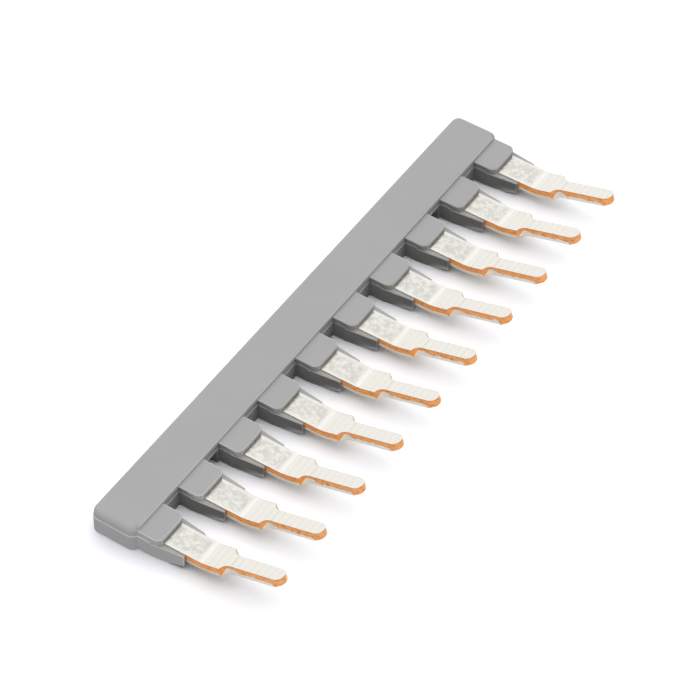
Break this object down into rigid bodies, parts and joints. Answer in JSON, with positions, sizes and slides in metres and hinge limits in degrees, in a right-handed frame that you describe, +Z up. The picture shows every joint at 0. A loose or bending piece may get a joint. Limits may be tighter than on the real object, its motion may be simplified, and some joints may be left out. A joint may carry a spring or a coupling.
{
  "type": "terminal block jumper",
  "caption": "Insertion bridge: a cranked comb of tinned copper prongs in a slim grey moulded bar, pushed into a row of terminal blocks to link them electrically.",
  "frame": {"origin": "centre of the bar's flat underside", "axes": "+X along the bar, -Y out along the prongs, +Z up, away from the underside"},
  "size_m": [0.061, 0.0198, 0.0042],
  "materials": {
    "tinned_copper": "matte tin over copper, bare copper on the cut edges",
    "grey_plastic": "fine matte moulded surface"
  },
  "bodies": {
    "root": {"contact_comb": "tinned_copper", "insulating_housing": "grey_plastic"}
  },
  "joints": []
}
